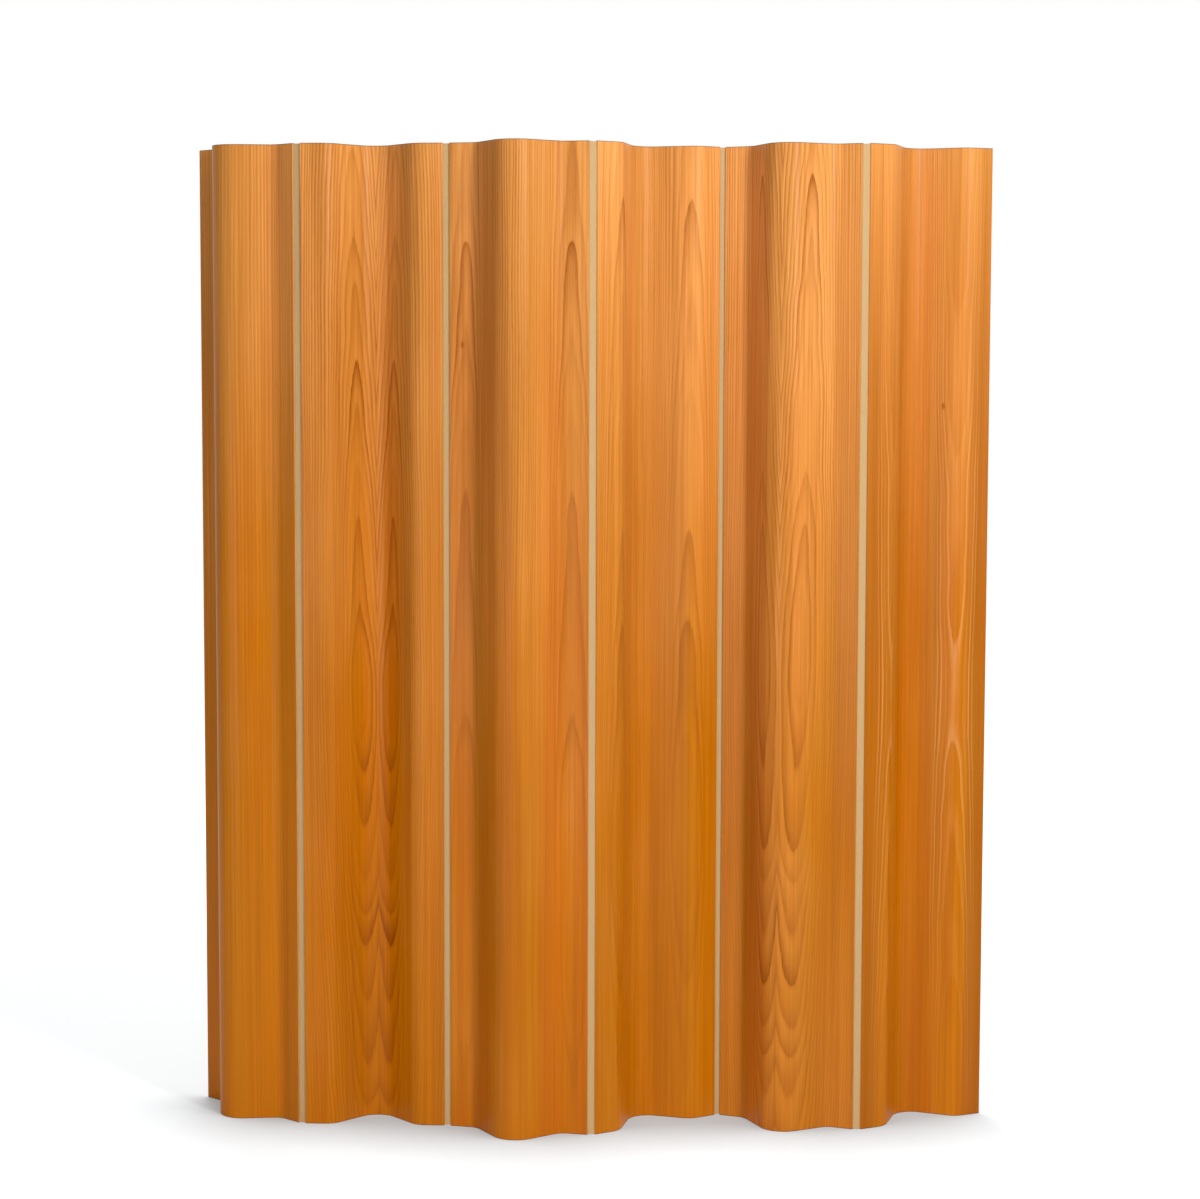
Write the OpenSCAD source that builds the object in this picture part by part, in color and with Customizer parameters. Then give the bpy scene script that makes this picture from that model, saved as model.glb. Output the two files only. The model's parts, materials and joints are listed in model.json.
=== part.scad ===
// Folding screen: six moulded five-ply panels joined edge to edge by woven hinge strips.
// +X runs along the screen, -Y is its front and +Z is up.
// It stands on z = 0, with the centre of its footprint at the origin.
// Seen from above, the panels swell to the front and to the back in turn.

/* [Panels] */
// Height of every panel
panel_h = 1702; // [1500:1:1900]
// Width of one panel, from edge to edge
panel_w = 244; // [225:1:270]
// Width of the flat flange along each upright edge
flange_w = 34; // [26:1:42]
// Radius that sweeps a flange into its slope, at mid thickness
sweep_r = 32; // [24:1:40]
// Radius of the crown between the slopes, at mid thickness
crown_r = 40; // [30:1:48]
// Angle between a flange and its slope
slope_a = 47; // [38:0.5:50]
// Radius that eases the outer corners of the upright edges
ease_r = 0.5; // [0.1:0.1:0.5]

/* [Plies] */
// Thickness of each face veneer, grain upright
veneer_t = 0.8; // [0.6:0.1:1.2]
// Thickness of each crossband, grain across
crossband_t = 1.4; // [1:0.1:2]
// Thickness of the core, grain upright
core_t = 2.1; // [1.8:0.1:3]

/* [Hinge strips] */
// Thickness of the woven strip
strip_t = 1; // [0.6:0.1:1.2]
// Depth of the tongue that is glued into a panel edge
tongue_d = 14; // [8:1:20]
// Thickness of the glue line around a tongue
glue_t = 0.1; // [0.05:0.05:0.25]
// Distance that a strip stops short of the top and bottom edges
strip_inset = 1; // [0.5:0.5:6]
// Clearance between the turning strip and a panel edge
flex_clear = 0.3; // [0.2:0.1:0.6]
// Clearance between the slopes of two panels that are folded together
nest_clear = 0.6; // [0.4:0.1:2]

/* [Stance] */
// Heading of the left panel, seen from above
first_heading = -41.5; // [-60:0.5:0]
// Fold of the first strip away from flat
fold_1 = 39; // [0:0.5:180]
// Fold of the second strip away from flat
fold_2 = 10; // [0:0.5:180]
// Fold of the third strip away from flat
fold_3 = 42.5; // [0:0.5:180]
// Fold of the fourth strip away from flat
fold_4 = 51; // [0:0.5:180]
// Fold of the fifth strip away from flat
fold_5 = 46; // [0:0.5:180]

/* [Hidden] */
$fn = 48;
FOLDS = [fold_1, fold_2, fold_3, fold_4, fold_5];
STRIPS = len(FOLDS);
PANELS = STRIPS + 1;

// Thickness of a panel, and of its plies from the middle outwards
panel_t = 2 * veneer_t + 2 * crossband_t + core_t;
core_o = core_t / 2;
crossband_o = core_o + crossband_t;
veneer_o = crossband_o + veneer_t;

// Length of a straight slope, and how far the crown stands proud of the flanges
slope_l = (panel_w / 2 - flange_w - (sweep_r + crown_r) * sin(slope_a)) / cos(slope_a);
swell = (sweep_r + crown_r) * (1 - cos(slope_a)) + slope_l * sin(slope_a);

// A strip flexes on two lines, each flex_o outside a panel edge and web_w apart
flex_o = strip_t / 2 + flex_clear;
web_w = (panel_t + nest_clear) / cos(slope_a);
kerf_t = strip_t + 2 * glue_t;
kerf_d = tongue_d + glue_t;
beyond = 1;

// Each ply: name, nearest and furthest offset towards the front, colour
VENEER = "#c97f3a";
CROSSBAND = "#e0b884";
CORE = "#c9975c";
CLOTH = "#c8b48c";
PLIES = [
    ["front_veneer", crossband_o, veneer_o, VENEER],
    ["front_crossband", core_o, crossband_o, CROSSBAND],
    ["core", -core_o, core_o, CORE],
    ["back_crossband", -crossband_o, -core_o, CROSSBAND],
    ["back_veneer", -veneer_o, -crossband_o, VENEER]
];
LEFT = -1;
RIGHT = 1;

function ply_name(panel, ply) = str("panel_", panel + 1, "_", ply[0]);
function web_name(strip) = str("hinge_", strip + 1, "_web");
function tongue_name(strip, side) =
    str("hinge_", strip + 1, side == LEFT ? "_left_tongue" : "_right_tongue");

// Even panels, counted from 0, swell to the front, and odd ones to the back
function faces_front(panel) = panel % 2 == 0;
function fold_sign(strip) = faces_front(strip) ? 1 : -1;
function along(heading) = [cos(heading), sin(heading)];
function square_to(heading) = [-sin(heading), cos(heading)];

// Headings seen from above, turning to either side in turn
function heading(panel) =
    panel == 0 ? first_heading : heading(panel - 1) + fold_sign(panel - 1) * FOLDS[panel - 1];
function web_heading(strip) = (heading(strip) + heading(strip + 1)) / 2;

// Chain of points from the first left edge: left edge of each panel, flex lines of each strip
function left_edge(panel) =
    panel == 0 ? [0, 0] : right_flex(panel - 1) + along(heading(panel)) * flex_o;
function left_flex(strip) = left_edge(strip) + along(heading(strip)) * (panel_w + flex_o);
function right_flex(strip) = left_flex(strip) + along(web_heading(strip)) * web_w;

// Points of a panel in its own plan, at an offset from mid thickness towards the crown:
// its left edge, rounded at the two outer faces, then the bend of a flange and the crown
ARC_STEPS = 16;
EASE_STEPS = 4;
function edge_points(offset) = abs(offset) < veneer_o ? [[0, offset]] : [
    for (i = [0 : EASE_STEPS]) let (a = 90 * i / EASE_STEPS)
        [ease_r * (1 - cos(a)), sign(offset) * (veneer_o - ease_r * (1 - sin(a)))]
];
function sweep_points(offset) = [
    for (i = [0 : ARC_STEPS]) let (a = slope_a * i / ARC_STEPS)
        [flange_w, sweep_r] + (sweep_r - offset) * [sin(a), -cos(a)]
];
function crown_points(offset) = [
    for (i = [ARC_STEPS : -1 : 0]) let (a = slope_a * i / ARC_STEPS)
        [panel_w / 2, swell - crown_r] + (crown_r + offset) * [-sin(a), cos(a)]
];

// Line of one face from the left edge to the right one, alike on both sides of the crown
function half_line(offset) =
    concat(edge_points(offset), sweep_points(offset), crown_points(offset));
function mirrored(half) = [for (i = [len(half) - 2 : -1 : 0]) [panel_w - half[i].x, half[i].y]];
function face_line(offset) = concat(half_line(offset), mirrored(half_line(offset)));
function reversed(line) = [for (i = [len(line) - 1 : -1 : 0]) line[i]];

function in_plan(panel, p) =
    left_edge(panel) + along(heading(panel)) * p.x
    + square_to(heading(panel)) * (faces_front(panel) ? -p.y : p.y);

// Footprint of the whole screen, whose centre becomes the origin
FOOTPRINT = [
    for (panel = [0 : PANELS - 1]) for (offset = [-veneer_o, veneer_o])
        for (p = face_line(offset)) in_plan(panel, p)
];
centre_x = (min([for (p = FOOTPRINT) p.x]) + max([for (p = FOOTPRINT) p.x])) / 2;
centre_y = (min([for (p = FOOTPRINT) p.y]) + max([for (p = FOOTPRINT) p.y])) / 2;

// Slot along the left edge of a panel, for the tongue of a strip
module kerf() {
    translate([-beyond, -kerf_t / 2]) square([kerf_d + beyond, kerf_t]);
}

// One ply in plan, flat on y = 0 at both edges and swelling towards +y
module ply_plan(near, far, left_kerf, right_kerf) {
    difference() {
        polygon(concat(face_line(near), reversed(face_line(far))));
        if (left_kerf) kerf();
        if (right_kerf) translate([panel_w, 0]) mirror([1, 0]) kerf();
    }
}

module on_panel(panel) {
    p = left_edge(panel) - [centre_x, centre_y];
    translate([p.x, p.y]) rotate([0, 0, heading(panel)]) children();
}

module panel_ply(panel, ply) {
    front = faces_front(panel);
    near = front ? ply[1] : -ply[2];
    far = front ? ply[2] : -ply[1];
    color(ply[3]) on_panel(panel) mirror([0, front ? 1 : 0])
        linear_extrude(panel_h) ply_plan(near, far, panel > 0, panel < PANELS - 1);
}

// Part of a strip glued into the edge of the panel on one side of it
module strip_tongue(strip, side) {
    panel = side == LEFT ? strip : strip + 1;
    x0 = side == LEFT ? panel_w - tongue_d : 0;
    color(CLOTH) on_panel(panel) translate([x0, -strip_t / 2, strip_inset])
        cube([tongue_d, strip_t, panel_h - 2 * strip_inset]);
}

// Part of a strip that bridges two panels, rounded about both flex lines
module strip_web(strip) {
    p = left_flex(strip) - [centre_x, centre_y];
    color(CLOTH) translate([p.x, p.y, strip_inset]) rotate([0, 0, web_heading(strip)])
        linear_extrude(panel_h - 2 * strip_inset) {
            translate([0, -strip_t / 2]) square([web_w, strip_t]);
            for (x = [0, web_w]) translate([x, 0]) circle(d = strip_t);
        }
}

for (panel = [0 : PANELS - 1]) for (ply = PLIES)
    panel_ply(panel, ply);
for (strip = [0 : STRIPS - 1])
    strip_web(strip);
for (strip = [0 : STRIPS - 1]) for (side = [LEFT, RIGHT])
    strip_tongue(strip, side);
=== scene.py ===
# %% [markdown]
# # A folding screen of wave-moulded plywood
# Six panels of thin plywood stand in a zigzag, joined edge to edge by strips of woven cloth.
# Each panel is five veneers glued over a wave-shaped mould, so a flat flange sweeps into a slope, the slope into a
# rounded crown, and back again. The packed solids already have that form. This lesson gives them the faces that one
# sees and touches: book-matched ash with its rings and pores, the pale edges of the inner plies, and cloth that bends.
# The solids load first, because everything else is placed by what they measure. All lengths are in metres.

# %% Load the packed solids
import json
import math

import bmesh
import bpy
from mathutils import Matrix, Vector


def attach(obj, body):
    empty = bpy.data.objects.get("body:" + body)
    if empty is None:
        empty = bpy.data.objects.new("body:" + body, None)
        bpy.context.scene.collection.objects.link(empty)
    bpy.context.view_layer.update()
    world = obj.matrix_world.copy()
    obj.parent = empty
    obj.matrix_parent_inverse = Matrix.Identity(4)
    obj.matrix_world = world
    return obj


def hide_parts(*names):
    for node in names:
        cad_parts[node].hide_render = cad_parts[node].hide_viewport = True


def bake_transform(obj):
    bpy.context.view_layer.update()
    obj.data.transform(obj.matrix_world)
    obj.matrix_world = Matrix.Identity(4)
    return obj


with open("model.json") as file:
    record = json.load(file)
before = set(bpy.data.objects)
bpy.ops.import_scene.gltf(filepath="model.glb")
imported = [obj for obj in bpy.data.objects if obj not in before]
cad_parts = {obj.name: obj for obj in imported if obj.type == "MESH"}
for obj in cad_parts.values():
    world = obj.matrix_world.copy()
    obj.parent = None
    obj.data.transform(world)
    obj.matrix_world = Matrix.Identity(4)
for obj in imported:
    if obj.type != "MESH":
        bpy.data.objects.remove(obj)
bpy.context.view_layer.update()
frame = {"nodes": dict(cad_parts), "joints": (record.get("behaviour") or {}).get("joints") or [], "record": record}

# %% [markdown]
# ## The camera
# The photograph is taken from chest height, a good four metres away, with a lens that is long enough to keep
# the panels from leaning. The numbers come from fitting the screen's seams and its top and bottom lines. The camera
# looks a little downwards, and a small shift moves the picture, which is what a view camera does to frame a tall thing.

# %% Set the camera
EYE = (0.0156, -4.5724, 1.3206)
PITCH = math.radians(4.6142)
ROLL = math.radians(0.1607)
SENSOR_MM = 36
LENS_MM = 79.187
SHIFT = -0.015
camera_data = bpy.data.cameras.new("camera")
camera_data.sensor_width = SENSOR_MM
camera_data.lens = LENS_MM
camera_data.shift_y = SHIFT
camera = bpy.data.objects.new("camera", camera_data)
bpy.context.scene.collection.objects.link(camera)
camera.matrix_world = (
    Matrix.Translation(EYE)
    @ Matrix.Rotation(math.pi / 2 - PITCH, 4, "X")
    @ Matrix.Rotation(ROLL, 4, "Z")
)
bpy.context.scene.camera = camera
bpy.context.scene.view_settings.view_transform = "Standard"
print("camera lens:", LENS_MM, "mm, height:", round(camera.location.z, 3), "m")

# %% [markdown]
# ## The wave of a panel
# Seen from above, a panel is a flat flange, a sweep that turns it up, a straight slope, a rounded crown, and the same
# again in reverse. The widths, radii and the angle are those of the solids. The length of the slope and the swell of
# the crown could be typed as well, but they follow from the others, so they are worked out and can't disagree.

# %% Measure the wave
PANELS = range(1, 7)
HINGES = range(1, 6)
PANEL_H = 1.702
PANEL_W = 0.244
FLANGE_W = 0.034
SWEEP_R = 0.032
CROWN_R = 0.040
SLOPE_A = math.radians(47)
FLEX_O = 0.0008
SLOPE_L = (PANEL_W / 2 - FLANGE_W - (SWEEP_R + CROWN_R) * math.sin(SLOPE_A)) / math.cos(SLOPE_A)
SWELL = (SWEEP_R + CROWN_R) * (1 - math.cos(SLOPE_A)) + SLOPE_L * math.sin(SLOPE_A)
print("slope:", round(SLOPE_L, 5), "m, swell:", round(SWELL, 5), "m")

# %% [markdown]
# ## Where each panel stands
# A panel has its own plan: x runs along it from its left edge, and y rises towards its crown. Odd panels turn their
# crown to the front and even ones to the back. One could type the place of every panel, but the packed record already
# gives two points of each: its crown, which is a mount, and the line on which its cloth bends, which is a joint. Two
# points fix a plan, so nothing is typed twice.

# %% Lay out the plans of the panels
flex = {joint["name"]: Vector(joint["pos_m"]).xy for joint in frame["joints"]}
crown = {mount["name"]: Vector(mount["pos_m"]).xy for mount in frame["record"]["mounts"]}


def crown_side(n):
    """Side of the room to which the crown of a panel swells: -1 is the front, and 1 the back."""
    return -1 if n % 2 else 1


def heading(n):
    """Heading of a panel, from its crown and the flex line nearest to it."""
    last = n == PANELS[-1]
    anchor = flex[f"hinge_{n - 1}_right_flex" if last else f"hinge_{n}_left_flex"]
    in_plan = Vector((-FLEX_O if last else PANEL_W + FLEX_O, 0))
    reach = Vector((PANEL_W / 2, crown_side(n) * SWELL)) - in_plan
    seen = crown[f"panel_{n}_bottom_edge"] - anchor
    return math.atan2(seen.y, seen.x) - math.atan2(reach.y, reach.x)


def plan_to_room(n):
    """Matrix that takes a panel's own plan to the room."""
    turn = Matrix.Rotation(heading(n), 4, "Z") @ Matrix.Diagonal((1, crown_side(n), 1, 1))
    at_crown = turn @ Vector((PANEL_W / 2, SWELL, 0))
    place = crown[f"panel_{n}_bottom_edge"] - at_crown.xy
    return Matrix.Translation((place.x, place.y, 0)) @ turn


for n in PANELS:
    print("panel", n, "heading", round(math.degrees(heading(n)), 2))

# %% [markdown]
# ## The wave, drawn with spins
# The real veneer is one flat sheet that is bent over the mould, so the mesh is made the same way. It starts as one
# short edge across the veneer. Extruding that edge makes the flat stretches, and spinning it about the centre of a
# bend makes the curved ones, which keeps every arc true.

# %% Lengthen and bend a sheet


def run_on(bm, edge, step):
    """Extrude the end edge by a step, and return the new end edge."""
    made = bmesh.ops.extrude_edge_only(bm, edges=[edge])["geom"]
    corners = [v for v in made if isinstance(v, bmesh.types.BMVert)]
    bmesh.ops.translate(bm, verts=corners, vec=(step[0], step[1], 0))
    return next(e for e in made if isinstance(e, bmesh.types.BMEdge) and set(e.verts) == set(corners))


def bend(bm, edge, centre, angle, steps):
    """Spin the end edge about the centre of a bend, and return the new end edge."""
    last = bmesh.ops.spin(
        bm, geom=list(edge.verts) + [edge], cent=(centre[0], centre[1], 0), axis=(0, 0, 1), dvec=(0, 0, 0),
        angle=angle, steps=steps, use_merge=False, use_normal_flip=False, use_duplicate=False)["geom_last"]
    return next(e for e in last if isinstance(e, bmesh.types.BMEdge))


SWEEP_STEPS = 32
CROWN_STEPS = 32
print("one step of a sweep:", round(SWEEP_R * SLOPE_A / SWEEP_STEPS * 1000, 2), "mm")

# %% [markdown]
# ## One footprint for every ply
# All the plies follow the same wave, each at its own distance from the middle of the plywood. Every bend is spun about
# the centre that all the plies share, so an outer ply gets a wider arc and an inner one a tighter arc, and no gap opens
# between them. The outer corner is marked at the start, and the mark travels along with every step.

# %% Draw the wave


def wave_ribbon(bm, near, far, outer):
    """Footprint of one ply, between two offsets from mid thickness towards the crown."""
    corner = bm.verts.layers.int.new("outer")
    ends = [bm.verts.new((0, offset, 0)) for offset in (near, far)]
    ends[1 if outer > 0 else 0][corner] = 1
    edge = bm.edges.new(ends)
    slope = Vector((math.cos(SLOPE_A), math.sin(SLOPE_A))) * SLOPE_L
    edge = run_on(bm, edge, (FLANGE_W, 0))
    edge = bend(bm, edge, (FLANGE_W, SWEEP_R), SLOPE_A, SWEEP_STEPS)
    edge = run_on(bm, edge, slope)
    edge = bend(bm, edge, (PANEL_W / 2, SWELL - CROWN_R), -2 * SLOPE_A, 2 * CROWN_STEPS)
    edge = run_on(bm, edge, (slope.x, -slope.y))
    edge = bend(bm, edge, (PANEL_W - FLANGE_W, SWEEP_R), SLOPE_A, SWEEP_STEPS)
    run_on(bm, edge, (FLANGE_W, 0))
    return corner


print("faces along one wave:", 4 + 2 * SWEEP_STEPS + 2 * CROWN_STEPS)

# %% [markdown]
# ## From footprint to sheet
# Extruding the whole ribbon upwards gives the sheet. Its outer corners get a small bevel, because sanding always eases
# them, and that thin line of light shows the edge. The bevel takes the edges that fold by more than a radian and whose
# two ends were marked as outer ones when the ribbon was drawn, so no edge has to be picked by its place.

# %% Raise a sheet and ease its rims


def raise_up(bm, height):
    """Extrude a footprint upwards."""
    made = bmesh.ops.extrude_face_region(bm, geom=bm.faces[:])["geom"]
    top = [v for v in made if isinstance(v, bmesh.types.BMVert)]
    bmesh.ops.translate(bm, verts=top, vec=(0, 0, height))
    bmesh.ops.recalc_face_normals(bm, faces=bm.faces)


EASE = 0.0005
FOLDED = 1


def ease_rims(bm, corner):
    """Bevel the edges around the sheet's outer face."""
    rims = [e for e in bm.edges if all(v[corner] for v in e.verts) and e.calc_face_angle(0) > FOLDED]
    bmesh.ops.bevel(
        bm, geom=rims, offset=EASE, offset_type="OFFSET", segments=3, profile=0.5, affect="EDGES", material=-1)


print("rims are eased by", EASE * 1000, "mm")

# %% [markdown]
# ## Unrolling the sheet
# Wood grain belongs to the flat veneer, before it is bent. So each sheet carries a UV map in metres: u is the length
# run along the wave from its left edge, and v is the height. Rings and pores drawn on it follow every bend at their
# true size. The run is worked out piece by piece: flange, arc of the sweep, slope, arc of the crown.

# %% Measure the run along the wave
SWEEP_L = SWEEP_R * SLOPE_A
CROWN_L = CROWN_R * SLOPE_A
HALF_RUN = FLANGE_W + SWEEP_L + SLOPE_L + CROWN_L
print("a panel laid flat is", round(2 * HALF_RUN, 4), "m wide")


def run_at(x, y):
    """Length along the wave at a point of the plan, measured at mid thickness."""
    if x > PANEL_W / 2:
        return 2 * HALF_RUN - run_at(PANEL_W - x, y)
    if x <= FLANGE_W:
        return x
    turned = math.atan2(x - FLANGE_W, SWEEP_R - y)
    if 0 <= turned <= SLOPE_A:
        return FLANGE_W + SWEEP_R * turned
    left = math.atan2(PANEL_W / 2 - x, y - SWELL + CROWN_R)
    if left <= SLOPE_A and y > SWELL / 2:
        return HALF_RUN - CROWN_R * left
    foot = Vector((FLANGE_W + SWEEP_R * math.sin(SLOPE_A), SWEEP_R * (1 - math.cos(SLOPE_A))))
    return FLANGE_W + SWEEP_L + (Vector((x, y)) - foot).dot(Vector((math.cos(SLOPE_A), math.sin(SLOPE_A))))


def unroll(bm):
    """Write the run and the height of every corner into the sheet's map."""
    layer = bm.loops.layers.uv.new("run")
    for face in bm.faces:
        for loop in face.loops:
            x, y, z = loop.vert.co
            loop[layer].uv = (run_at(x, y), z)


# %% [markdown]
# ## From mesh to piece
# A finished mesh is moved to its place in the room, and its object stays at the origin, as the packed solids do. The
# bends are made of narrow flat faces, so all faces are shaded smooth, and only edges that fold by more than a few
# degrees stay crisp.

# %% Turn a mesh into a named piece
CRISP = math.radians(10)


def to_piece(bm, name, matrix):
    """Move a finished mesh to its place in the room, and make it a named piece."""
    bmesh.ops.transform(bm, matrix=matrix, verts=bm.verts)
    bmesh.ops.recalc_face_normals(bm, faces=bm.faces)
    for face in bm.faces:
        face.smooth = True
    mesh = bpy.data.meshes.new(name)
    bm.to_mesh(mesh)
    bm.free()
    mesh.set_sharp_from_angle(angle=CRISP)
    piece = bpy.data.objects.new(name, mesh)
    bpy.context.scene.collection.objects.link(piece)
    return piece


print("edges stay crisp from", round(math.degrees(CRISP)), "degrees")

# %% [markdown]
# ## The face veneers
# Only the two outer plies of a panel show their wide faces, so only they are drawn anew, with a map for the grain and
# with eased rims. Each one lies where the packed ply lies, between two offsets from the middle of the plywood, and
# takes its place on the same panel. The three inner plies show no more than their edges, so their solids stay.

# %% Make the face veneers
CROSSBAND_O = 0.00245
VENEER_O = 0.00325
FACES = {"front": -1, "back": 1}


def veneer_piece(n, face):
    """A face veneer at its place on the panel."""
    outer = FACES[face] * crown_side(n)
    near, far = sorted((outer * CROSSBAND_O, outer * VENEER_O))
    bm = bmesh.new()
    corner = wave_ribbon(bm, near, far, outer)
    raise_up(bm, PANEL_H)
    ease_rims(bm, corner)
    unroll(bm)
    piece = to_piece(bm, f"panel_{n}_{face}_leaf", plan_to_room(n))
    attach(piece, f"panel_{n}")
    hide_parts(f"panel_{n}_{face}_veneer")
    return piece


veneers = {(n, face): veneer_piece(n, face) for n in PANELS for face in FACES}
print("veneers:", len(veneers), "with", len(veneers[1, "front"].data.polygons), "faces each")

# %% [markdown]
# ## The cloth of a hinge
# Each hinge is one tall strip of cloth whose two edges are glued into kerfs in the panels. It bends on two lines, just
# outside each panel edge. A piece can bend only across one joint, so a strip is made in two halves that meet in its
# middle, where nothing bends. Each half is drawn like the plywood: extrude in the kerf, spin a small bend, extrude on.

# %% Lay out half a strip
STRIP_T = 0.001
TONGUE_D = 0.014
KERF_LIP = 0.002
STRIP_INSET = 0.001
BEND_R = 0.0014
BEND_REACH = 0.00075
BEND_STEPS = 6


def unit(angle):
    """Arrow of length 1 in the plan."""
    return Vector((math.cos(angle), math.sin(angle)))


def half_footprint(bm, here, out_of_panel, across):
    """Lay out half a strip: through the kerf, around its flex line, and across to the middle of the strip."""
    turn = -out_of_panel.angle_signed(across)
    trim = BEND_R * math.tan(abs(turn) / 2)
    square = Vector((-out_of_panel.y, out_of_panel.x))
    start = here - out_of_panel * (TONGUE_D + FLEX_O)
    ends = [bm.verts.new((*(start + square * o), STRIP_INSET)) for o in (-STRIP_T / 2, STRIP_T / 2)]
    edge = bm.edges.new(ends)
    beside_bend = [(BEND_REACH - trim) / 2] * 2
    for step in [TONGUE_D - KERF_LIP, KERF_LIP, FLEX_O - BEND_REACH] + beside_bend:
        edge = run_on(bm, edge, out_of_panel * step)
    centre = here - out_of_panel * trim + square * math.copysign(BEND_R, turn)
    edge = bend(bm, edge, centre, turn, BEND_STEPS)
    to_middle = [(across.length - BEND_REACH) / 2] * 2
    for step in beside_bend + to_middle:
        edge = run_on(bm, edge, across.normalized() * step)


print("a tongue of", TONGUE_D * 1000, "mm sits in a kerf, and the cloth is", STRIP_T * 1000, "mm thick")

# %% [markdown]
# ## Unrolling the cloth
# The weave, like the grain, belongs to the flat cloth. Its map is simpler than the wave's: the run starts at the flex
# line and counts backwards into the kerf and forwards to the middle of the strip.

# %% Measure the run of the cloth


def unroll_half(bm, here, out_of_panel, along):
    """Write the run from the flex line and the height of every corner into the cloth's map."""
    layer = bm.loops.layers.uv.new("run")
    for face in bm.faces:
        for loop in face.loops:
            away = loop.vert.co.xy - here
            run = away.dot(out_of_panel) if away.dot(along) < 0 else away.dot(along)
            loop[layer].uv = (run, loop.vert.co.z)


print("the run starts", (TONGUE_D + FLEX_O) * 1000, "mm behind the flex line")

# %% [markdown]
# ## Cloth between the panels
# When a panel swings, the cloth in its kerf swings with it, and the free part between the panels turns half as far.
# Each half here is drawn from inside the kerf of its panel to the middle of the strip, and its bend lies within less
# than a millimetre of the flex line. Both halves together take the place of the packed tongues and of the web between
# them.

# %% Make the two halves of each strip


def half_strip(i, side):
    """Half a strip, from inside the kerf of one panel to the middle of the strip."""
    here = flex[f"hinge_{i}_{side}_flex"]
    other = flex[f"hinge_{i}_{'right' if side == 'left' else 'left'}_flex"]
    n = i if side == "left" else i + 1
    out_of_panel = unit(heading(n)) * (1 if side == "left" else -1)
    across = (other - here) / 2
    along = across.normalized()
    bm = bmesh.new()
    half_footprint(bm, here, out_of_panel, across)
    raise_up(bm, PANEL_H - 2 * STRIP_INSET)
    unroll_half(bm, here, out_of_panel, along)
    piece = to_piece(bm, f"hinge_{i}_{side}_cloth", Matrix.Identity(4))
    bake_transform(piece)
    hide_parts(f"hinge_{i}_{side}_tongue", f"hinge_{i}_web")
    return piece


cloths = {(i, side): half_strip(i, side) for i in HINGES for side in ("left", "right")}
print("half strips:", len(cloths))

# %% [markdown]
# ## Colours as one sees them
# A colour read off a picture is written for a screen, which squeezes the dark tones. The shader counts light itself, so
# each colour is turned back into linear light before it is used.

# %% Turn a colour of the screen into light


def srgb(red, green, blue):
    """A colour as one reads it off a screen, turned into the linear light that shaders use."""
    def linear(c):
        c /= 255
        return c / 12.92 if c <= 0.04045 else ((c + 0.055) / 1.055) ** 2.4
    return (linear(red), linear(green), linear(blue), 1)


print("a screen grey of 128 is", round(srgb(128, 128, 128)[0], 3), "in linear light")

# %% [markdown]
# ## A few words for building materials
# A material is a chain of small steps. One could place every step by hand and draw the links between them, but a long
# chain is hard to read that way. These helpers make one step each and link it, so a finish reads like its recipe.

# %% Helpers for material steps


class Recipe:
    """A material and the steps that lead to its shader."""

    def __init__(self, name):
        self.material = bpy.data.materials.new(name)
        self.material.use_nodes = True
        self.tree = self.material.node_tree
        self.shader = self.tree.nodes["Principled BSDF"]

    def put(self, kind, settings=(), **inputs):
        """Add a step. An input is given by its name, or by its number after a low line."""
        node = self.tree.nodes.new(kind)
        for key, value in dict(settings).items():
            setattr(node, key, value)
        for key, value in inputs.items():
            self.feed(node, key, value)
        return node

    def feed(self, node, key, value):
        """Link another step's result to an input, or set the input to a plain value."""
        socket = node.inputs[int(key[1:])] if key[1:].isdigit() else node.inputs[key]
        if isinstance(value, bpy.types.NodeSocket):
            self.tree.links.new(value, socket)
        else:
            socket.default_value = value

    def unrolled(self):
        """The piece laid flat, from its own map: the whole point, the run and the height."""
        flat = self.put("ShaderNodeUVMap", {"uv_map": "run"}).outputs[0]
        parts = self.put("ShaderNodeSeparateXYZ", Vector=flat)
        return flat, parts.outputs[0], parts.outputs[1]

    def math(self, what, a, b=0.0, c=0.0):
        return self.put("ShaderNodeMath", {"operation": what}, _0=a, _1=b, _2=c).outputs[0]

    def root(self, value):
        return self.math("POWER", value, 0.5)

    def between(self, value, low, high, to_low=0.0, to_high=1.0, how="SMOOTHSTEP"):
        """Go from one level to another while the value goes from low to high."""
        step = self.put("ShaderNodeMapRange", {"interpolation_type": how}, _0=value, _1=low, _2=high, _3=to_low,
                        _4=to_high)
        return step.outputs[0]

    def point(self, x, y, z=0.0):
        return self.put("ShaderNodeCombineXYZ", _0=x, _1=y, _2=z).outputs[0]

    def length(self, vector):
        return self.put("ShaderNodeVectorMath", {"operation": "LENGTH"}, _0=vector).outputs["Value"]

    def noise(self, where, scale=1.0, detail=2.0, rough=0.5):
        return self.put("ShaderNodeTexNoise", {"noise_dimensions": "3D"}, Vector=where, Scale=scale, Detail=detail,
                        Roughness=rough).outputs["Fac"]

    def mix(self, how_much, a, b):
        """Lay colour b over colour a."""
        return self.put("ShaderNodeMix", {"data_type": "RGBA", "clamp_factor": True}, _0=how_much, _6=a,
                        _7=b).outputs[2]

    def ramp(self, value, stops):
        """Read a level off a row of stops, each a place and its level."""
        node = self.put("ShaderNodeValToRGB", _0=value)
        while len(node.color_ramp.elements) < len(stops):
            node.color_ramp.elements.new(0.5)
        for stop, (at, level) in zip(node.color_ramp.elements, stops):
            stop.position = at
            stop.color = (level, level, level, 1)
        return node.outputs[0]

    def bump(self, height, depth, strength):
        return self.put("ShaderNodeBump", Strength=strength, Distance=depth, Height=height).outputs[0]


print("steps to build with:", [step for step in vars(Recipe) if not step.startswith("_")])

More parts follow.
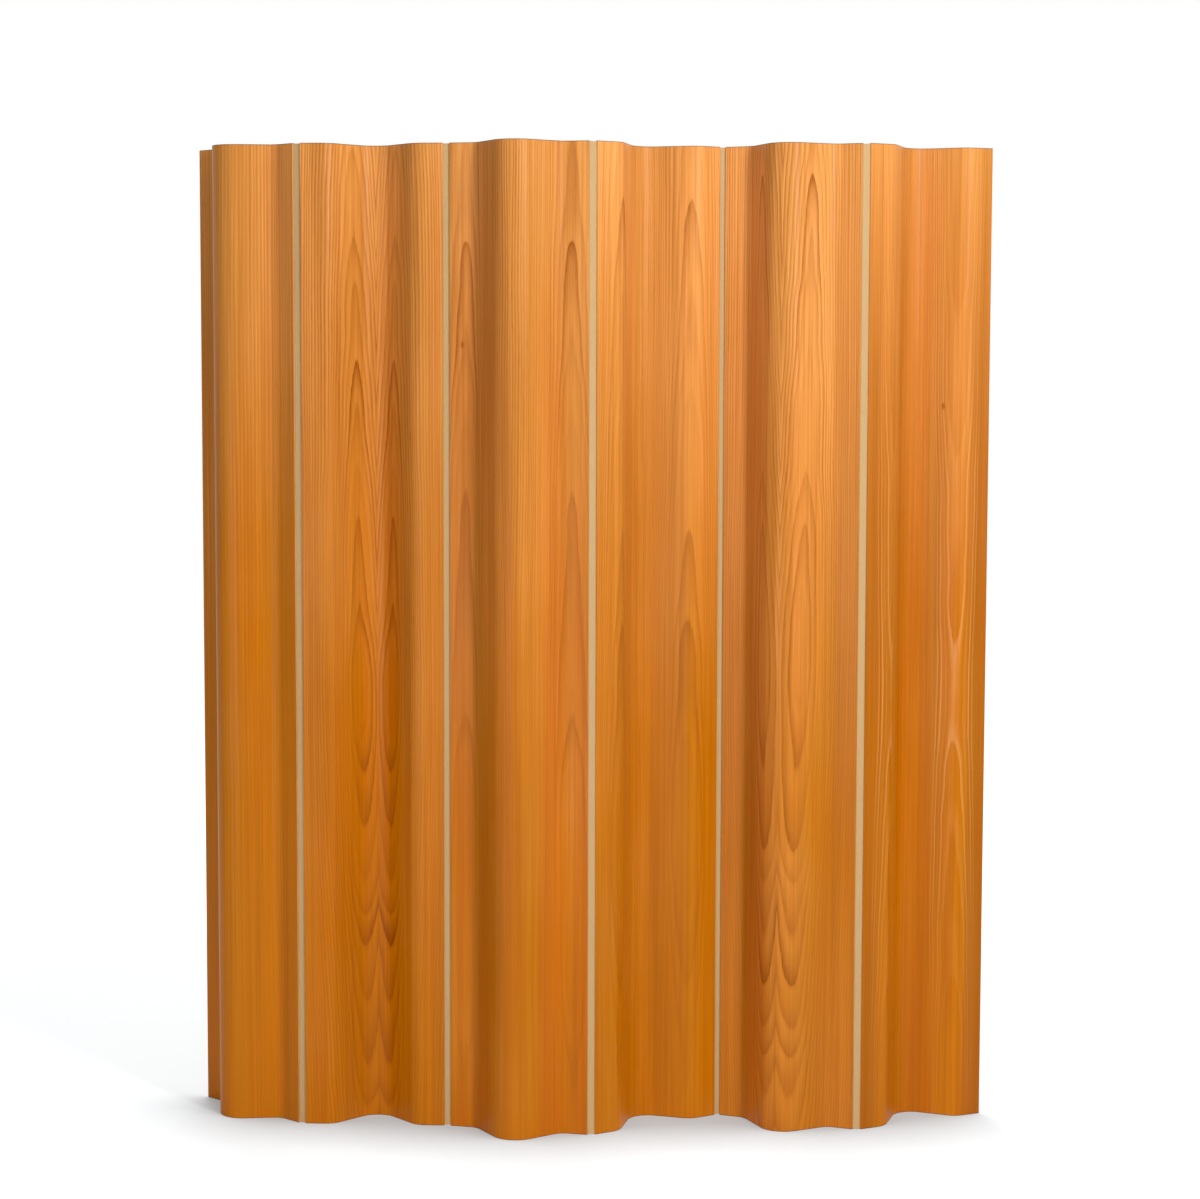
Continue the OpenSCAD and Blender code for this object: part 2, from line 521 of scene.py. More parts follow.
# %% [markdown]
# ## Ash veneer and its log
# A veneer is a slice of a log. Each face here is two leaves from one log, cut one after the other and opened like a
# book, so the left half mirrors the right one and the joint runs up the middle. Where the knife runs close to the heart
# of the log the rings open into tall arches, and towards the sides they close up into straight lines. The log is never
# quite straight, so the arches point up above some height, and below it they hang like a row of cups.
# A picture of veneer could be laid on, but it would repeat itself. A few numbers tell one slice of a log from the next,
# so every face gets its own slice, and one recipe draws them all.

# %% Describe a slice of a log
RING = 0.0062


def slice_of(heart, height, up, down, ring=RING, depth=(0.055, 0.045), peak=0.2, close=0.025, lean=0.0):
    """One slice of a log. Its heart lies at a distance from the joint, and its arches turn over at a height. up and
    down say how fast the log leaves the slice above and below that height, ring is the width of a year, depth is how
    far the slice passes from the middle of the log at the foot of the panel and at its top, peak draws the upper
    arches to a point, close packs the rings of the flanks, and lean moves the heart away from the joint with height."""
    return dict(heart=heart, height=height, up=up, down=down, ring=ring, depth=depth, peak=peak, close=close,
                lean=lean)


print("a year is", RING * 1000, "mm wide, so one leaf is about", round(HALF_RUN / RING), "years")

# %% [markdown]
# ## Reading the flat leaf
# Everything that grows in wood is long and upright. A plain noise is round, so it is stretched: many waves to a metre
# across the leaf, and few along it. Noise that has to match on both leaves of a face is read by the distance from the
# joint, and noise that belongs to one leaf alone is read by the run.

# %% Read a point of the flat leaf


class Leaf:
    """A point of the flat veneer, as the steps of a recipe see it."""

    def __init__(self, r, seed):
        self.r, self.seed = r, seed
        _, self.run, self.height = r.unrolled()
        self.from_joint = r.math("ABSOLUTE", r.math("SUBTRACT", self.run, HALF_RUN))

    def grain(self, across, along, shift=0.0, detail=2.0, rough=0.5, twin=False):
        """Noise with so many waves to a metre across and along the leaf. A shift picks other noise, and twin noise is
        the same on both leaves."""
        r = self.r
        place = self.from_joint if twin else self.run
        where = r.point(r.math("MULTIPLY", place, across), r.math("MULTIPLY", self.height, along), self.seed + shift)
        return r.noise(where, detail=detail, rough=rough)

    def stray(self, value, reach, *waves, **choice):
        """Let a value stray by up to half a reach to either side, with the waves of a grain."""
        noise = self.grain(*waves, **choice)
        return self.r.math("MULTIPLY_ADD", self.r.math("SUBTRACT", noise, 0.5), reach, value)

    def streaks(self, pattern, to_low=0.0, to_high=1.0):
        """Upright streaks. A pattern is the waves of a grain and the two levels of noise between which they rise."""
        waves, rise = pattern
        return self.r.between(self.grain(*waves), *rise, to_low, to_high)


print("one leaf of a face is", round(HALF_RUN * 1000), "mm wide and", round(PANEL_H * 1000), "mm high")

# %% [markdown]
# ## How far from the heart
# The rings could be drawn as lines, one by one, but wood does it more simply: a ring is a distance from the heart. So
# the recipe works out how far each point of the slice lies from the heart of its log, and lets that distance stray a
# little, because no log is round. Close to the heart, it is the lean and the bends of the log that decide the distance,
# and that makes arches. In the flanks it is the way to the side, and that makes straight lines.

# %% Place a point beside the heart
SLOW_WANDER = (0.020, 5, 1.1, 1)
QUICK_WANDER = (0.0028, 45, 4, 7)
UNEVEN_CUT = (0.0030, 14, 2.2, 8)


def beside_heart(r, leaf, log):
    """Way of a point above the height where the arches turn over, and its way to the side from the heart."""
    above = r.math("SUBTRACT", leaf.height, log["height"])
    side = r.math("MULTIPLY_ADD", above, -log["lean"], r.math("SUBTRACT", leaf.from_joint, log["heart"]))
    side = leaf.stray(side, *SLOW_WANDER, twin=True)
    side = leaf.stray(side, *QUICK_WANDER, twin=True)
    return above, leaf.stray(side, *UNEVEN_CUT)


print("a heart wanders by up to", SLOW_WANDER[0] / 2 * 1000, "mm to either side")

# %% [markdown]
# ## Arches by the heart, lines in the flanks
# A slice passes the middle of the log at some depth, and the log bends away from it above and below the height where
# its arches turn over. Near the heart, how far it has left the slice counts in full, and it counts for less and less
# towards the flanks. The two are added up as one distance, so an arch runs into the lines beside it without a seam.

# %% Measure the distance from the heart
BENDS = (0.012, 3, 5, 3)
RIPPLES = (0.0026, 26, 9, 14)
SOFT_TURN = 0.003
BLUNT_PEAK = 0.003
ARCH_REACH = 0.09
PEAKED_FROM_TO = (0.5, 1.1)
DEPTH_FROM_TO = (0.2, 1.5)
FLANK_FROM_TO = (0.025, 0.125)


def leaving_slice(r, leaf, log, above, square):
    """How far the heart has left the slice at this height."""
    away = r.root(r.math("MULTIPLY_ADD", above, above, SOFT_TURN))
    mean, skew = (log["up"] + log["down"]) / 2, (log["up"] - log["down"]) / 2
    leaving = r.math("MULTIPLY_ADD", above, skew, r.math("MULTIPLY", away, mean))
    leaving = leaf.stray(leaving, *BENDS, detail=1, twin=True)
    leaving = leaf.stray(leaving, *RIPPLES, detail=1, twin=True)
    cone = r.root(r.math("ADD", square, BLUNT_PEAK ** 2))
    return r.math("MULTIPLY_ADD", cone, r.between(leaf.height, *PEAKED_FROM_TO, 0.0, log["peak"]), leaving)


def from_heart(r, leaf, log, above, side):
    """Distance of a point from the heart. The arches fade out towards the flanks."""
    square = r.math("MULTIPLY", side, side)
    depth = r.between(leaf.height, *DEPTH_FROM_TO, *log["depth"])
    slant = r.root(r.math("ADD", square, r.math("MULTIPLY", depth, depth)))
    slant = r.math("ADD", slant, r.between(r.math("ABSOLUTE", side), *FLANK_FROM_TO, 0.0, log["close"]))
    fading = r.math("DIVIDE", 1.0, r.math("MULTIPLY_ADD", square, 1 / ARCH_REACH ** 2, 1.0))
    leaving = leaving_slice(r, leaf, log, above, square)
    return r.math("MULTIPLY_ADD", r.math("SUBTRACT", leaving, depth), fading, slant)


print("arches fade out about", ARCH_REACH * 1000, "mm from the heart")

# %% [markdown]
# ## The line of a year
# A year's growth starts pale and open and ends in a dark, dense line. So the line is soft on its inner side and sharp
# where the next year begins. Wet and dry years differ, and a random number for each year makes a few lines bold and
# many faint. In the flanks the lines are all alike, because there the knife crosses many years side by side.

# %% Draw the lines of the years
YEAR_WAVES = 45
YEAR_SHIFT = 11
UNEVEN_YEARS = 1.6
FEATHER = (0.0012, 520, 6, 4)
LINE_STOPS = [(0.0, 0.35), (0.08, 0.08), (0.25, 0.06), (0.58, 0.4), (0.84, 0.82), (0.95, 1.0), (1.0, 0.35)]
NEW_YEAR_STOPS = [(0.0, 0.6), (0.12, 1.0), (0.5, 0.0), (0.97, 0.0), (1.0, 0.6)]
BOLD_YEARS, RARE = 1.1, 2.6
TURN_FROM_TO, FAINT_BELOW, FAINT_ABOVE = (-0.35, 0.0), 0.55, 0.22
ARCHES_END, FLANK_LINES = (0.012, 0.050), 0.75


def count_years(r, leaf, log, far):
    """Age of the wood within its year, from 0 to 1, and a random number for that year."""
    years = r.noise(r.point(r.math("MULTIPLY", far, YEAR_WAVES), leaf.seed + YEAR_SHIFT), detail=1)
    ring = r.math("MULTIPLY_ADD", years, UNEVEN_YEARS, r.math("DIVIDE", leaf.stray(far, *FEATHER), log["ring"]))
    year = r.put("ShaderNodeTexWhiteNoise", {"noise_dimensions": "1D"}, W=r.math("FLOOR", ring)).outputs["Value"]
    return r.math("FRACT", ring), year


def ring_lines(r, leaf, log, above, side):
    """How dark the line of a year is, and how pale the wood is that starts the next one."""
    age, year = count_years(r, leaf, log, from_heart(r, leaf, log, above, side))
    faint = r.between(above, *TURN_FROM_TO, FAINT_BELOW, FAINT_ABOVE)
    bold = r.math("MULTIPLY_ADD", r.math("POWER", year, RARE), BOLD_YEARS, faint)
    flank = r.between(r.math("ABSOLUTE", side), *ARCHES_END)
    bold = r.math("MULTIPLY_ADD", flank, r.math("SUBTRACT", FLANK_LINES, bold), bold)
    line = r.math("MULTIPLY", r.ramp(age, LINE_STOPS), bold)
    new_year = r.math("MULTIPLY", r.ramp(age, NEW_YEAR_STOPS), year)
    return line, r.math("MULTIPLY", r.math("SUBTRACT", 1.0, flank), new_year)


print("a line is darkest at", max(LINE_STOPS, key=lambda stop: stop[1])[0], "of its year")

# %% [markdown]
# ## The colour of lacquered ash, with painted sheen and shade
# Ash is nearly white when it is cut, and lacquer turns it honey and amber. Down the panel the ground colour runs from
# pale honey at the top, a painted sheen of the lamps above, to deeper amber at the foot, which is painted shade. Faint
# upright streaks of red and olive lie over it. It could be one flat brown, but then the lines would look printed.

# %% Mix the ground colour
HONEY = srgb(234, 163, 90)
AMBER = srgb(194, 114, 0)
RED = srgb(184, 84, 14)
OLIVE = srgb(164, 108, 22)
LINE = srgb(138, 68, 4)
RED_STREAKS = (20, 0.9, 9), (0.34, 0.62)
OLIVE_STREAKS = (16, 0.8, 12), (0.36, 0.66)
FINE_STREAKS, FINE_DEPTH = ((190, 1.4, 6), (0.38, 0.72)), 0.25
UNEVEN_TONE = (0.5, 6, 2.5, 2)
INSIDE_ARCHES = (0.012, 0.034)
FLANGES = (0.095, 0.130)
# How fast the painted sheen at the top fades downwards into the painted shade of the foot.
PAINTED_SHEEN_FALLOFF = 2.2
RED_AT_TOP, RED_TO_FOOT = 0.4, 0.6


def ground_colour(r, leaf, side, tone, glow, red, olive, edges):
    """Colour of the wood under its lines."""
    # Painted light: paler towards the top as painted sheen, deeper towards the foot as painted shade.
    low = r.math("SUBTRACT", 1.0, r.math("POWER", r.math("DIVIDE", leaf.height, PANEL_H), PAINTED_SHEEN_FALLOFF))
    warm = leaf.stray(r.math("ADD", low, tone - 0.5), *UNEVEN_TONE)
    warm = r.math("ADD", warm, r.between(r.math("ABSOLUTE", side), *INSIDE_ARCHES, glow, 0.0))
    wood = r.mix(warm, HONEY, AMBER)
    # The red streaks fade upwards into the painted sheen of the top.
    flush = r.math("MULTIPLY", leaf.streaks(RED_STREAKS), r.math("MULTIPLY_ADD", low, RED_TO_FOOT, RED_AT_TOP))
    wood = r.mix(r.math("MULTIPLY", flush, red), wood, RED)
    wood = r.mix(leaf.streaks(OLIVE_STREAKS, 0.0, olive), wood, OLIVE)
    wood = r.mix(leaf.streaks(FINE_STREAKS, 0.0, FINE_DEPTH), wood, LINE)
    return r.mix(r.math("MULTIPLY", r.between(leaf.from_joint, *FLANGES, 0.0, edges), low), wood, LINE)


print("honey in linear light:", [round(level, 3) for level in HONEY[:3]])

# %% [markdown]
# ## A pin knot and the dark rims
# A pin knot is the trace of a twig: a small dark spot, longer up the grain than across it. A length measured on a
# squeezed height draws it. The top and the bottom of a panel get a dark rim as thin as the eased edge. It is partly
# cut fibres that drink the lacquer, and partly painted shade on the eased rims and where the foot meets the floor.

# %% Add a pin knot and the dark ends
KNOT_SQUEEZE = 0.45
KNOT_FROM_TO, KNOT_DEPTH = (0.0008, 0.0042), 0.75
# Partly dark end grain, partly painted shade on the eased rims and at the foot.
END_GRAIN_AND_RIM_SHADE = srgb(84, 44, 12)
END_FROM_TO, END_DEPTH = (PANEL_H / 2 - 0.0016, PANEL_H / 2 - 0.0005), 0.8


def pin_knot(r, leaf, wood, run, height):
    """Darken a spot at a run and a height."""
    up = r.math("MULTIPLY", r.math("SUBTRACT", leaf.height, height), KNOT_SQUEEZE)
    spot = r.length(r.point(r.math("SUBTRACT", leaf.run, run), up))
    return r.mix(r.between(spot, *KNOT_FROM_TO, KNOT_DEPTH, 0.0), wood, LINE)


def dark_ends(r, leaf, wood):
    """Darken the rims at the top and the bottom."""
    from_middle = r.math("ABSOLUTE", r.math("SUBTRACT", leaf.height, PANEL_H / 2))
    # Painted shade on the rims, together with the dark end grain.
    return r.mix(r.between(from_middle, *END_FROM_TO, 0.0, END_DEPTH), wood, END_GRAIN_AND_RIM_SHADE)


print("a pin knot is at most", round(2000 * KNOT_FROM_TO[1], 1), "mm wide")

# %% [markdown]
# ## Worn lines under lacquer
# The lines are faint at the foot, where the painted shade deepens the wood around them, and here and there they
# are worn. The lacquer is a thin clear coat over dull wood: a layer of its own keeps the long streaks of light on
# the crowns soft and pale. The grain is far too fine to model, so a bump tells the light about it.

# %% Deepen the lines and lacquer the wood
LINE_HEIGHTS, LINE_CONTRAST = (0.1, 1.65), 1.25
WORN_LINES, WORN, FRESH = ((18, 1.2, 13), (0.3, 0.65)), 0.55, 1.25
LINE_DEPTH, PORE_DEPTH = 0.42, 0.2
GRAIN_DEPTH, GRAIN_STRENGTH, FIBRE_HEIGHT = 0.0001, 0.4, 0.4
WOOD_SHINE, WOOD_ROUGHNESS, ROUGH_LINES = 0.05, 0.38, 0.15
LACQUER, LACQUER_ROUGHNESS = 0.1, 0.28


def line_contrast(r, leaf, line, pores, foot, contrast):
    """Depth of the lines. They are fainter at the foot and in worn places, and deeper where pores meet them."""
    crisp = r.between(leaf.height, *LINE_HEIGHTS, foot, LINE_CONTRAST * contrast, how="LINEAR")
    crisp = r.math("MULTIPLY", crisp, leaf.streaks(WORN_LINES, WORN, FRESH))
    return r.math("MULTIPLY", r.math("MULTIPLY", line, r.math("MULTIPLY_ADD", pores, PORE_DEPTH, LINE_DEPTH)), crisp)


def lacquer(r, line, pores, fibre, dark):
    """Relief of the grain, and the thin clear coat over it."""
    pits = r.math("MULTIPLY", r.math("MULTIPLY", line, pores), -1)
    relief = r.math("ADD", pits, r.math("MULTIPLY", fibre, FIBRE_HEIGHT))
    r.feed(r.shader, "Normal", r.bump(relief, GRAIN_DEPTH, GRAIN_STRENGTH))
    r.feed(r.shader, "Roughness", r.math("MULTIPLY_ADD", dark, ROUGH_LINES, WOOD_ROUGHNESS))
    r.shader.inputs["Specular IOR Level"].default_value = WOOD_SHINE
    r.shader.inputs["Coat Weight"].default_value = LACQUER
    r.shader.inputs["Coat Roughness"].default_value = LACQUER_ROUGHNESS


print("lacquer coat:", LACQUER, "roughness:", LACQUER_ROUGHNESS)

# %% [markdown]
# ## One recipe for every face
# The lines of the years go over the ground colour. Ash has open pores, so fine upright dashes break up the lines, and
# long fibres run between them. All twelve faces are made by the same steps, and each says only in what it differs.

# %% Put the ash together
PALE = srgb(250, 190, 130)
PORES = (1500, 40), (0.42, 0.68)
FIBRE, ROUGH_NOISE = (420, 5, 5), dict(detail=3, rough=0.6)
FIBRE_RISE, FIBRE_DEPTH = (0.35, 0.7), 0.16


def ash_veneer(name, log, tone=0.5, contrast=1.0, foot=0.4, glow=0.0, red=0.25, olive=0.3, pale=0.0, edges=0.0,
               knot=None, seed=0.0):
    """Lacquered ash. tone deepens the colour, contrast the lines, foot the lines at the foot of the panel, and glow the
    space between the arches. red and olive say how far streaks of those hues show, pale how far a pale line goes
    with the dark one, and edges how far the low part of the two flanges deepens. A knot is a pin knot at a run and a
    height."""
    r = Recipe(name)
    leaf = Leaf(r, seed)
    above, side = beside_heart(r, leaf, log)
    line, new_year = ring_lines(r, leaf, log, above, side)
    pores = leaf.streaks(PORES)
    fibre = leaf.grain(*FIBRE, **ROUGH_NOISE)
    dark = line_contrast(r, leaf, line, pores, foot, contrast)
    wood = ground_colour(r, leaf, side, tone, glow, red, olive, edges)
    wood = r.mix(dark, wood, LINE)
    wood = r.mix(r.math("MULTIPLY", new_year, pale), wood, PALE)
    if knot:
        wood = pin_knot(r, leaf, wood, *knot)
    wood = r.mix(r.between(fibre, *FIBRE_RISE, FIBRE_DEPTH, 0.0), wood, LINE)
    r.feed(r.shader, "Base Color", dark_ends(r, leaf, wood))
    lacquer(r, line, pores, fibre, dark)
    return r.material


print("pores are about", round(1000 / PORES[0][0], 1), "mm wide and", round(1000 / PORES[0][1]), "mm long")

# %% [markdown]
# ## A slice for every face
# The fronts follow the real screen: straight grain on the left panel, tall arches over hanging cups on the second and
# the fifth, wide and quiet arches on the third and the fourth, and arches that point down, with pale lines, on the
# right one. Where the heart lies far to the side, the lines are straight. Where the knife passes wide of it, the arches
# are wide. The backs can't be seen in the photograph, so they get calmer slices of the same kind of log.

# %% Choose the slice of every face
STRAIGHT = (0.10, 0.06)
WIDE = dict(depth=(0.150, 0.140), close=0.07)
FACE_FINISH = {
    (1, "front"): dict(
        log=slice_of(0.30, 0.80, 0.03, 0.03, depth=STRAIGHT), tone=0.65, contrast=0.8, olive=0.35, seed=1.0),
    (2, "front"): dict(
        log=slice_of(0.033, 0.74, 0.062, 0.082, depth=(0.070, 0.050), lean=0.016),
        contrast=1.2, foot=1.1, glow=0.15, seed=2.3),
    (3, "front"): dict(
        log=slice_of(0.117, 0.42, 0.044, 0.046, ring=0.0082, peak=0.06, **WIDE),
        contrast=1.25, red=0.45, knot=(0.023, 1.360), seed=3.1),
    (4, "front"): dict(
        log=slice_of(0.090, 0.50, 0.044, 0.056, ring=0.0080, peak=0.06, **WIDE), contrast=1.15, red=0.1, seed=4.7),
    (5, "front"): dict(
        log=slice_of(0.034, 0.78, 0.046, 0.076, depth=(0.070, 0.055), lean=0.020),
        tone=0.4, contrast=1.15, foot=0.95, glow=-0.1, seed=5.2),
    (6, "front"): dict(
        log=slice_of(0.088, 0.80, -0.030, -0.036, ring=0.0070, peak=0.0, **WIDE),
        tone=0.62, contrast=0.9, red=0.45, olive=0.35, edges=0.45, pale=0.4, knot=(0.206, 1.257), seed=6.9),
    (1, "back"): dict(log=slice_of(0.060, 0.40, 0.045, 0.045), seed=11.3),
    (2, "back"): dict(log=slice_of(0.090, 1.20, 0.040, 0.040), tone=0.55, seed=12.8),
    (3, "back"): dict(log=slice_of(0.045, 0.30, 0.050, 0.050), seed=13.5),
    (4, "back"): dict(log=slice_of(0.28, 0.70, 0.030, 0.030, depth=STRAIGHT), seed=14.1),
    (5, "back"): dict(log=slice_of(0.100, 1.45, 0.045, 0.045), tone=0.6, seed=15.6),
    (6, "back"): dict(log=slice_of(0.070, 0.20, 0.045, 0.045), tone=0.45, seed=16.4),
}
for (n, face), piece in veneers.items():
    piece.data.materials.append(ash_veneer(f"ash_{n}_{face}", **FACE_FINISH[n, face]))
print("ash faces:", len(FACE_FINISH))

# %% [markdown]
# ## The edges of the inner plies
# Plywood shows its build at every edge: dark and pale lines in turn, because the fibres run up in one ply and across
# in the next. The solids are the right shape here, so they stay and only get finishes. A stretched noise is enough: it
# reads as long fibres where it is seen from the side, and as cut ends where it is seen from the tip.

# %% Mix the finish of an inner ply
FIBRE_RANGE = (0.35, 0.68)
PATCH_WAVES, PATCH_RANGE, PATCH_DEPTH = 14, (0.35, 0.7), 0.4
FIBRE_RELIEF, RELIEF_STRENGTH = 0.0001, 0.5
EDGE_ROUGHNESS, ROUGH_FIBRES = 0.42, 0.2
EDGE_COAT, EDGE_COAT_ROUGHNESS = 0.15, 0.3


def ply_edge(name, pale, deep, stretch, turn):
    """Fibres with so many waves to a metre in x, y and z, turned to the heading of their panel."""
    r = Recipe(name)
    where = r.put("ShaderNodeTexCoord").outputs["Object"]
    fibres = r.put("ShaderNodeMapping", {"vector_type": "TEXTURE"}, Vector=where, Rotation=(0, 0, turn),
                   Scale=tuple(1 / s for s in stretch)).outputs[0]
    cut = r.noise(fibres, **ROUGH_NOISE)
    patch = r.noise(where, scale=PATCH_WAVES)
    wood = r.mix(r.between(cut, *FIBRE_RANGE), pale, deep)
    wood = r.mix(r.between(patch, *PATCH_RANGE, 0.0, PATCH_DEPTH), wood, deep)
    r.feed(r.shader, "Base Color", wood)
    r.feed(r.shader, "Roughness", r.math("MULTIPLY_ADD", cut, ROUGH_FIBRES, EDGE_ROUGHNESS))
    r.feed(r.shader, "Normal", r.bump(cut, FIBRE_RELIEF, RELIEF_STRENGTH))
    r.shader.inputs["Coat Weight"].default_value = EDGE_COAT
    r.shader.inputs["Coat Roughness"].default_value = EDGE_COAT_ROUGHNESS
    return r.material


print("coat on the edges:", EDGE_COAT, "roughness:", EDGE_COAT_ROUGHNESS)

# %% [markdown]
# ## Up, across, up
# The fibres of the core stand upright, and those of the crossbands lie along the heading of their panel. So the core
# of every panel has the same finish, and each panel's crossbands have one that is turned with it.

# %% Finish the inner plies
UPRIGHT = (1400, 1400, 22)
ACROSS = (22, 1400, 1400)
CORE_PALE, CORE_DEEP = srgb(206, 140, 76), srgb(150, 88, 38)
CROSS_PALE, CROSS_DEEP = srgb(222, 168, 106), srgb(176, 116, 60)
core_edge = ply_edge("core_edge", CORE_PALE, CORE_DEEP, UPRIGHT, 0)
for n in PANELS:
    cross_edge = ply_edge(f"crossband_edge_{n}", CROSS_PALE, CROSS_DEEP, ACROSS, heading(n))
    for ply, finish in (("core", core_edge), ("front_crossband", cross_edge), ("back_crossband", cross_edge)):
        frame["nodes"][f"panel_{n}_{ply}"].data.materials.clear()
        frame["nodes"][f"panel_{n}_{ply}"].data.materials.append(finish)
print("inner plies finished:", 3 * len(PANELS))

# %% [markdown]
# ## Woven cloth
# The strip is a close, hard weave like belting, in undyed khaki. Its crosswise threads show as fine ribs, and the
# lengthwise ones cut them into short bars. Threads under a millimetre thick needn't be modelled one by one: two crossed
# waves give their colour and their relief, and a little noise keeps the rows from lying too straight.

# %% Weave the cloth
THREAD = 0.0009
WOBBLE_WAVES, WOBBLE = 600, 0.0002
BARS, RIBS, WEAVE_MIDDLE = 0.35, 0.25, 0.5
WEAVE_RANGE = (0.1, 0.9)
WORN_WAVES, WORN_RANGE, WORN_DEPTH = 22, (0.4, 0.75), 0.35
DEEP_KHAKI, PALE_KHAKI, WORN_KHAKI = srgb(156, 124, 78), srgb(208, 174, 126), srgb(182, 154, 106)
THREAD_RELIEF, WEAVE_STRENGTH = 0.00015, 0.7
CLOTH_ROUGHNESS, CLOTH_SHINE, CLOTH_SHEEN = 0.82, 0.25, 0.15


def woven(name):
    """Plain weave, drawn on the cloth laid flat."""
    r = Recipe(name)
    flat, run, height = r.unrolled()
    up = r.math("MULTIPLY_ADD", r.noise(flat, scale=WOBBLE_WAVES), WOBBLE, height)
    over = r.math("SINE", r.math("MULTIPLY", up, math.tau / THREAD))
    beside = r.math("SINE", r.math("MULTIPLY", run, math.tau / THREAD))
    ribs = r.math("MULTIPLY_ADD", over, RIBS, WEAVE_MIDDLE)
    weave = r.math("MULTIPLY_ADD", r.math("MULTIPLY", over, beside), BARS, ribs)
    worn = r.noise(flat, scale=WORN_WAVES, detail=3)
    cloth = r.mix(r.between(weave, *WEAVE_RANGE), DEEP_KHAKI, PALE_KHAKI)
    cloth = r.mix(r.between(worn, *WORN_RANGE, 0.0, WORN_DEPTH), cloth, WORN_KHAKI)
    r.feed(r.shader, "Base Color", cloth)
    r.feed(r.shader, "Normal", r.bump(weave, THREAD_RELIEF, WEAVE_STRENGTH))
    r.shader.inputs["Roughness"].default_value = CLOTH_ROUGHNESS
    r.shader.inputs["Specular IOR Level"].default_value = CLOTH_SHINE
    r.shader.inputs["Sheen Weight"].default_value = CLOTH_SHEEN
    return r.material


khaki = woven("khaki_cloth")
for cloth in cloths.values():
    cloth.data.materials.append(khaki)
print("cloth pieces finished:", len(cloths))

# %% [markdown]
# ## The lamps
# The main lamp is narrow and stands high in front on the right, so slopes that face left fall into shade and crowns
# get upright streaks of shine. A weak, wide one stands low on the left and keeps the feet of those slopes open, one
# hangs above, and one lights the back. Area lamps are the softboxes of a studio: the wider the lamp, the softer the
# shade.

# %% Set the lamps


def soft_lamp(name, place, target, size, power):
    """An area lamp at a place, turned to a target, with its width and height and its power in watts."""
    data = bpy.data.lights.new(name, "AREA")
    data.shape, data.size, data.size_y = "RECTANGLE", size[0], size[1]
    data.energy = power
    lamp = bpy.data.objects.new(name, data)
    bpy.context.scene.collection.objects.link(lamp)
    look = (Vector(target) - Vector(place)).to_track_quat("-Z", "Y")
    lamp.matrix_world = Matrix.Translation(place) @ look.to_matrix().to_4x4()
    print("lamp", name, "stands", round(Vector(place).length, 2), "m from the foot of the screen")


soft_lamp("key", place=(1.8, -3.0, 2.5), target=(0, 0, 1.3), size=(0.4, 1.4), power=101)
soft_lamp("fill", place=(-2.2, -3.2, 0.6), target=(0, 0, 0.3), size=(2.4, 1.2), power=32)
soft_lamp("back", place=(-0.8, 3.6, 3.0), target=(0, 0, 0.9), size=(2.0, 2.0), power=100)
soft_lamp("top", place=(0.9, -0.9, 4.2), target=(0.2, -0.6, 0), size=(3.0, 3.0), power=101)

# %% [markdown]
# ## A white room
# The photograph has a white background. A room that really shone that bright would wash out the wood, so its light
# asks what kind of ray has come. It is white to the camera, in reflections and through see-through surfaces, and a
# soft grey to the wood, which the lamps light at a plain level.

# %% Make the room white to the camera, and soft grey to the wood
ROOM_LEVEL = 0.17


def seen_or_mirrored(tree):
    """1 for rays that the camera sends, for reflections and for see-through surfaces, otherwise 0."""
    path = tree.nodes.new("ShaderNodeLightPath")
    total = path.outputs["Is Camera Ray"]
    for ray in ("Is Glossy Ray", "Is Transmission Ray"):
        add = tree.nodes.new("ShaderNodeMath")
        add.operation = "ADD"
        tree.links.new(total, add.inputs[0])
        tree.links.new(path.outputs[ray], add.inputs[1])
        total = add.outputs[0]
    return total


world = bpy.data.worlds.new("white_room")
bpy.context.scene.world = world
world.use_nodes = True
air = world.node_tree
shade = air.nodes["Background"]
level = air.nodes.new("ShaderNodeMapRange")
air.links.new(seen_or_mirrored(air), level.inputs["Value"])
level.inputs["To Min"].default_value = ROOM_LEVEL
level.inputs["To Max"].default_value = 1
air.links.new(level.outputs[0], shade.inputs["Strength"])
shade.inputs["Color"].default_value = (1, 1, 1, 1)
print("light of the room on the wood:", ROOM_LEVEL)

# %% [markdown]
# ## The floor
# The screen stands on a pale floor that runs into the white behind it. A round plate does, as long as it reaches far
# enough: its rim is lost in the white of the room.

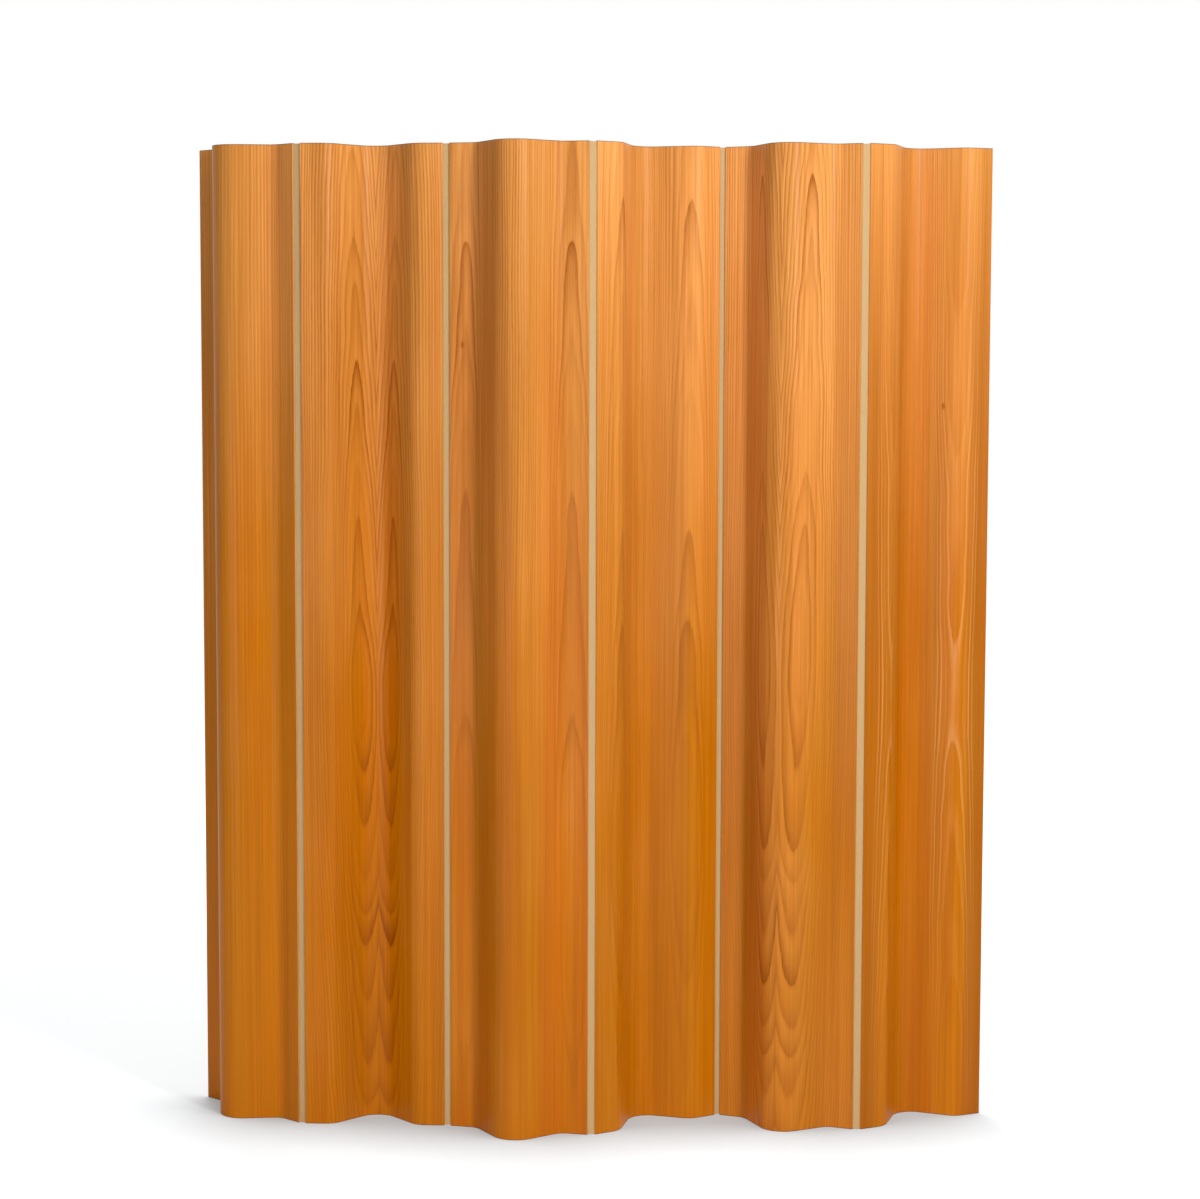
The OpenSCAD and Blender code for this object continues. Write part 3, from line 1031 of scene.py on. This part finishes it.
# %% Lay the floor
FLOOR_R = 9
FLOOR_SIDES = 96
bm = bmesh.new()
bmesh.ops.create_circle(bm, cap_ends=True, segments=FLOOR_SIDES, radius=FLOOR_R)
floor_mesh = bpy.data.meshes.new("floor")
bm.to_mesh(floor_mesh)
bm.free()
floor = bpy.data.objects.new("floor", floor_mesh)
bpy.context.scene.collection.objects.link(floor)
print("floor:", 2 * FLOOR_R, "m across")

# %% [markdown]
# ## White, with a shadow
# The floor catches the lamps, so the shadow of the screen falls on it, and a glow of its own brings it up to white.
# Where the panels close a place in, the glow goes down into a painted contact shadow, which grounds the feet.
# Further out it is white everywhere.

# %% Finish the floor
UNSEEN_GREY, SEEN_GREY, WHITE = (0.85, 0.85, 0.85, 1), (0.28, 0.30, 0.31, 1), (1, 1, 1, 1)
FLOOR_ROUGHNESS = 0.9
CLOSED_IN_WITHIN, CLOSED_IN_SAMPLES = 0.25, 16
CLOSED_TO_OPEN, SHADED_GLOW, OPEN_GLOW = (0.45, 0.95), 0.26, 0.75
OUT_TO_WHITE = (0.9, 2.0)
r = Recipe("pale_floor")
r.shader.inputs["Roughness"].default_value = FLOOR_ROUGHNESS
r.shader.inputs["Specular IOR Level"].default_value = 0
r.shader.inputs["Emission Color"].default_value = WHITE
seen = seen_or_mirrored(r.tree)
r.feed(r.shader, "Base Color", r.mix(seen, UNSEEN_GREY, SEEN_GREY))
openness = r.put("ShaderNodeAmbientOcclusion", {"samples": CLOSED_IN_SAMPLES}, Distance=CLOSED_IN_WITHIN)
# Painted contact shadow: the glow dims where the place is closed in.
near = r.between(openness.outputs["AO"], *CLOSED_TO_OPEN, SHADED_GLOW, OPEN_GLOW, how="LINEAR")
far_out = r.between(r.length(r.put("ShaderNodeTexCoord").outputs["Object"]), *OUT_TO_WHITE)
r.feed(r.shader, "Emission Strength", r.math("MULTIPLY", r.math("MAXIMUM", near, far_out), seen))
floor_mesh.materials.append(r.material)
print("the floor is white from", OUT_TO_WHITE[1], "m out")

# %% [markdown]
